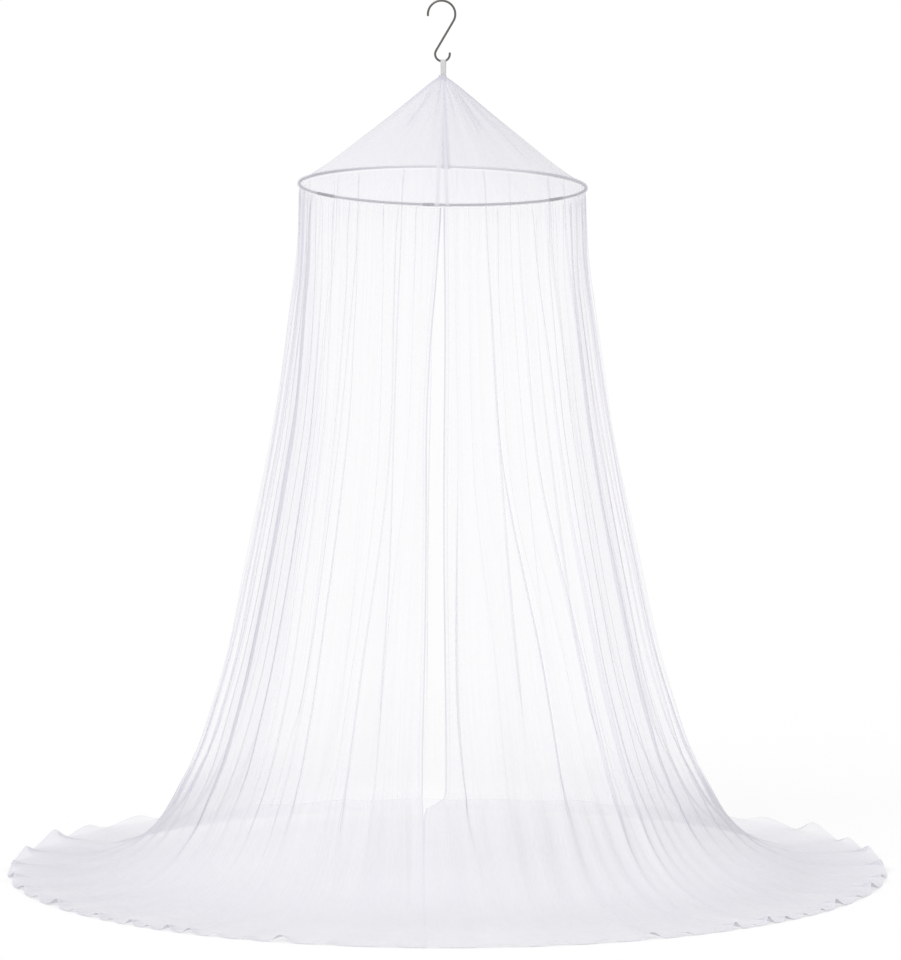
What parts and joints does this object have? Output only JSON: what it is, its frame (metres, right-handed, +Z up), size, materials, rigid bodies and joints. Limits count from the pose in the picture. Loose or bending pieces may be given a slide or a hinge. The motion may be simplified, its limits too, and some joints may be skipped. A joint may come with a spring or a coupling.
{
  "type": "mosquito net canopy with hoop and hanging hook",
  "caption": "White mosquito net canopy gathered on a round hoop, hung by an S-hook, with its hem spread in a round pool on the floor.",
  "frame": {"origin": "on the floor, under the hook, at the middle of the hem's pool", "axes": "+Z up; -Y is the front, where the net's two edges part as the way in; +X to the right seen from the front"},
  "size_m": [1.836, 1.838, 1.8385],
  "materials": {
    "net": "matte sheer knitted net",
    "tape": "matte woven tape",
    "hoop": "satin",
    "sleeve": "satin",
    "hook_steel": "polished"
  },
  "bodies": {
    "root": {"s_hook": "hook_steel", "tape_loop": "tape", "roof_net": "net", "hoop": "hoop", "hoop_sleeve_front": "sleeve", "hoop_sleeve_left": "sleeve", "hoop_sleeve_right": "sleeve", "wall_net": "net"}
  },
  "joints": []
}
